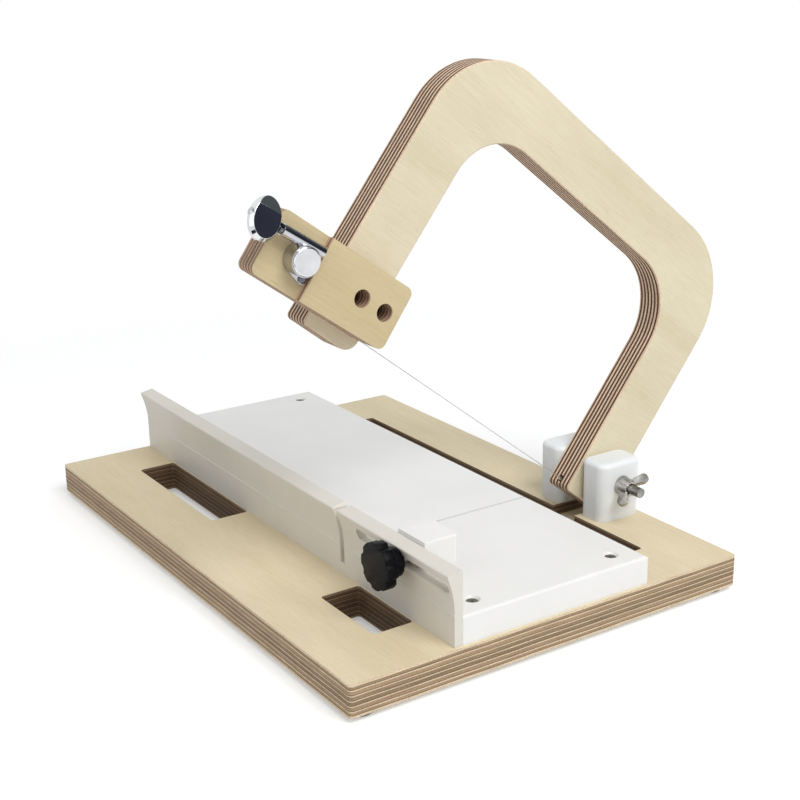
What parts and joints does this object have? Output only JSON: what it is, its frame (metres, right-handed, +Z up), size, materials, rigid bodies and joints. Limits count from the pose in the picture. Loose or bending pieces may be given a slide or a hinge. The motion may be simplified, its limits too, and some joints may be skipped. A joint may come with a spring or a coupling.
{
  "type": "soap cutter",
  "caption": "Bench soap cutter: plywood base, white plastic bed with slotted fence and sliding stop, hinged plywood bow with a wire tensioned by a worm-geared tuning machine.",
  "frame": {"origin": "centre of the base board's outline, on the plane that the rubber feet stand on", "axes": "+X along the base's long side to the operator's right, +Y from the operator to the hinge, +Z up"},
  "size_m": [0.36, 0.3272, 0.2904],
  "materials": {
    "birch_plywood": "sanded birch plywood with dark edge plies",
    "black_rubber": "matt",
    "white_plastic": "satin white polyethylene",
    "black_plastic": "satin black",
    "zinc_steel": "bright zinc plate",
    "dark_steel": "dull steel",
    "brass": "plain brass",
    "spring_wire": "bright drawn wire",
    "bright_chrome": "polished chrome"
  },
  "bodies": {
    "base": {"base_board": "birch_plywood", "rubber_feet": "black_rubber", "cutting_bed": "white_plastic", "bed_screws": "zinc_steel", "fence": "white_plastic", "pivot_block_left": "white_plastic", "pivot_block_right": "white_plastic", "pivot_block_screws": "zinc_steel", "pivot_bolt": "zinc_steel"},
    "bow": {"bow_frame": "birch_plywood", "tuner_block": "birch_plywood", "tuner_block_screws": "dark_steel", "wire_anchor": "brass", "cutting_wire": "spring_wire", "tuner_housing": "bright_chrome", "tuner_cover": "bright_chrome", "tuner_bush": "bright_chrome", "tuner_washer": "bright_chrome", "tuner_ear_screw": "bright_chrome"},
    "wing_nut": {"wing_nut": "zinc_steel"},
    "stop": {"stop_block": "white_plastic"},
    "knob": {"star_knob": "black_plastic", "knob_stud": "zinc_steel"},
    "button": {"tuner_worm_shaft": "bright_chrome", "tuner_button": "bright_chrome", "tuner_button_screw": "bright_chrome"},
    "string_post": {"tuner_post": "bright_chrome", "tuner_gear": "brass", "tuner_gear_screw": "zinc_steel"}
  },
  "joints": [
    {"name": "bow_hinge", "type": "hinge", "parent": "base", "child": "bow", "pos_m": [0.074, 0.11, 0.0422], "axis": [-1, 0, 0], "range_deg": [-37.3, 62]},
    {"name": "wing_nut_turn", "type": "hinge", "parent": "base", "child": "wing_nut", "pos_m": [0.1033, 0.11, 0.0422], "axis": [1, 0, 0], "continuous": true},
    {"name": "stop_slide", "type": "slide", "parent": "base", "child": "stop", "axis": [1, 0, 0], "range_m": [-0.039, 0.039]},
    {"name": "knob_turn", "type": "hinge", "parent": "stop", "child": "knob", "pos_m": [0.134, -0.0752, 0.0525], "axis": [0, -1, 0], "continuous": true},
    {"name": "button_turn", "type": "hinge", "parent": "bow", "child": "button", "pos_m": [0.1028, -0.0954, 0.2124], "axis": [0, 0.8377, -0.5461], "continuous": true},
    {"name": "string_post_turn", "type": "hinge", "parent": "bow", "child": "string_post", "pos_m": [0.074, -0.09977, 0.2057], "axis": [1, 0, 0], "continuous": true}
  ],
  "couplings": [
    {"joint": "string_post_turn", "follows": "button_turn", "ratio": 0.071429}
  ]
}
